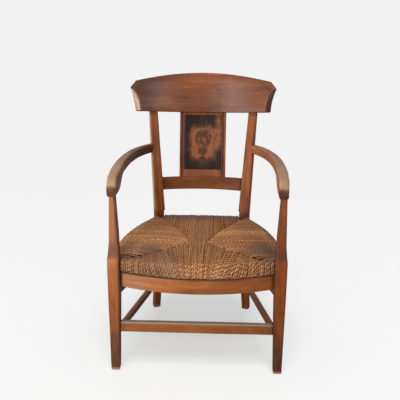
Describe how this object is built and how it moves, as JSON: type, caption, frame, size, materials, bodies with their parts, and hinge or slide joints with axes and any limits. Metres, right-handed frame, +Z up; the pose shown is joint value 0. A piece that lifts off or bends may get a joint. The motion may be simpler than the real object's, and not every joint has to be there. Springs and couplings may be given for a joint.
{
  "type": "straw armchair",
  "caption": "Low wooden armchair with a woven rush seat, swept arms on raised front legs, a raked back with a curved crest and a flat splat, and stretchers below.",
  "frame": {"origin": "centre of the footprint's box on the floor", "axes": "+Z up, -Y the way the sitter faces, +X to the right as seen from the front"},
  "size_m": [0.549, 0.6032, 0.9023],
  "materials": {
    "leg_wood": "aged wax over orange-brown fruitwood",
    "back_wood": "aged polish over red-brown fruitwood",
    "arm_wood": "worn pale on top by hands",
    "inner_wood": "raw",
    "panel_wood": "dark decorated panel under old varnish",
    "peg_wood": "end grain",
    "rush": "twisted rush, aged"
  },
  "bodies": {
    "root": {"front_leg_left": "leg_wood", "front_leg_right": "leg_wood", "back_post_left": "back_wood", "back_post_right": "back_wood", "crest_rail": "back_wood", "lower_back_rail": "back_wood", "splat": "panel_wood", "arm_left": "arm_wood", "arm_right": "arm_wood", "seat_rail_front": "inner_wood", "seat_rail_back": "inner_wood", "seat_rail_left": "inner_wood", "seat_rail_right": "inner_wood", "front_apron": "leg_wood", "rush_seat": "rush", "front_stretcher": "leg_wood", "back_stretcher": "leg_wood", "side_stretcher_upper_left": "leg_wood", "side_stretcher_upper_right": "leg_wood", "side_stretcher_lower_left": "leg_wood", "side_stretcher_lower_right": "leg_wood", "peg_front_stretcher_left": "peg_wood", "peg_front_stretcher_right": "peg_wood", "peg_back_stretcher_left": "peg_wood", "peg_back_stretcher_right": "peg_wood", "peg_crest_left": "peg_wood", "peg_crest_right": "peg_wood", "peg_lower_rail_left": "peg_wood", "peg_lower_rail_right": "peg_wood", "peg_arm_front_left": "peg_wood", "peg_arm_front_right": "peg_wood", "peg_arm_back_left": "peg_wood", "peg_arm_back_right": "peg_wood"}
  },
  "joints": []
}
